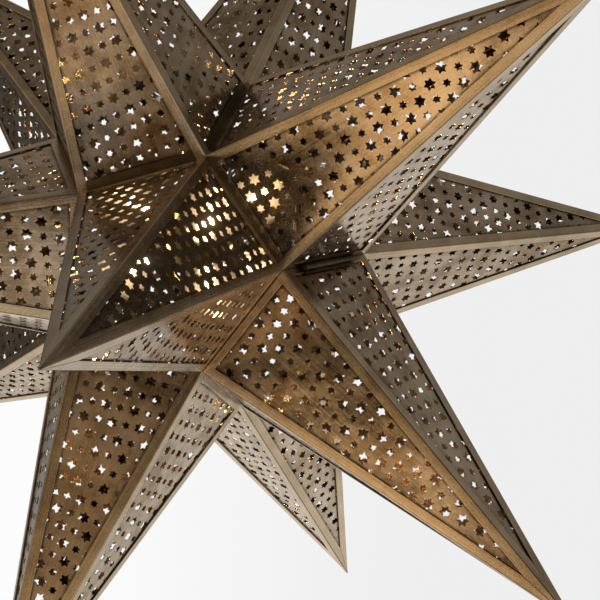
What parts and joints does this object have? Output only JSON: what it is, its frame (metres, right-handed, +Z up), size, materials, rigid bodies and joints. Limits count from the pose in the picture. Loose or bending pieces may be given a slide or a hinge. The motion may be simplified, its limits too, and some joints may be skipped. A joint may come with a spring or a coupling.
{
  "type": "moravian star pendant",
  "caption": "Star pendant lamp: pierced brass points on a dodecahedral core, six globe bulbs inside, one hinged access point with a quarter-turn catch, hung by an eye on its top edge.",
  "frame": {"origin": "centre of the star, the centre of its bounding box", "axes": "+Z up along the supply tube, +X along the level top edge between the two upper points"},
  "size_m": [0.7202, 0.7202, 0.7202],
  "materials": {
    "frame_brass": "aged brass, brushed along the strip",
    "panel_brass": "antique brass sheet, pierced with small stars",
    "hinge_brass": "aged brass",
    "turned_brass": "aged brass, turned",
    "plated_steel": "zinc plated",
    "black_plastic": "black phenolic",
    "lamp_base_metal": "bright brass",
    "clear_glass": "clear",
    "filament": "glowing filament on a glass stem",
    "lead_insulation": "heat resistant sleeving"
  },
  "bodies": {
    "star": {"bulb_bases": "lamp_base_metal", "bulb_filaments": "filament", "bulb_glasses": "clear_glass", "cluster_finial": "turned_brass", "cluster_shell_lower": "turned_brass", "cluster_shell_upper": "turned_brass", "cord_bush": "black_plastic", "hang_loop": "turned_brass", "hanger_clamp_block": "turned_brass", "hanger_locknut": "plated_steel", "hanger_saddle": "turned_brass", "hanger_washer": "plated_steel", "hinge_leaf_fixed": "hinge_brass", "hinge_pin": "hinge_brass", "joining_nuts": "plated_steel", "joining_screws": "plated_steel", "lamp_sockets": "black_plastic", "point_01_foot_strips": "frame_brass", "point_01_panels": "panel_brass", "point_01_ribs": "frame_brass", "point_02_foot_strips": "frame_brass", "point_02_panels": "panel_brass", "point_02_ribs": "frame_brass", "point_04_foot_strips": "frame_brass", "point_04_panels": "panel_brass", "point_04_ribs": "frame_brass", "point_05_foot_strips": "frame_brass", "point_05_panels": "panel_brass", "point_05_ribs": "frame_brass", "point_06_foot_strips": "frame_brass", "point_06_panels": "panel_brass", "point_06_ribs": "frame_brass", "point_07_foot_strips": "frame_brass", "point_07_panels": "panel_brass", "point_07_ribs": "frame_brass", "point_08_foot_strips": "frame_brass", "point_08_panels": "panel_brass", "point_08_ribs": "frame_brass", "point_09_foot_strips": "frame_brass", "point_09_panels": "panel_brass", "point_09_ribs": "frame_brass", "point_10_foot_strips": "frame_brass", "point_10_panels": "panel_brass", "point_10_ribs": "frame_brass", "point_11_foot_strips": "frame_brass", "point_11_panels": "panel_brass", "point_11_ribs": "frame_brass", "point_12_foot_strips": "frame_brass", "point_12_panels": "panel_brass", "point_12_ribs": "frame_brass", "socket_leads": "lead_insulation", "stem_sleeve": "turned_brass", "threaded_tube": "plated_steel"},
    "access_point": {"point_03_foot_strips": "frame_brass", "point_03_panels": "panel_brass", "point_03_ribs": "frame_brass", "hinge_leaf_moving": "hinge_brass", "catch_bush": "hinge_brass"},
    "catch": {"catch_knob": "hinge_brass", "catch_cam": "hinge_brass"}
  },
  "joints": [
    {"name": "access_hinge", "type": "hinge", "parent": "star", "child": "access_point", "pos_m": [0.13478, 0, 0], "axis": [0, -1, 0], "range_deg": [0, 80]},
    {"name": "catch_turn", "type": "hinge", "parent": "access_point", "child": "catch", "pos_m": [0.07928, 0.03856, -0.11139], "axis": [0.2327, -0.5741, 0.785], "range_deg": [0, 90]}
  ]
}
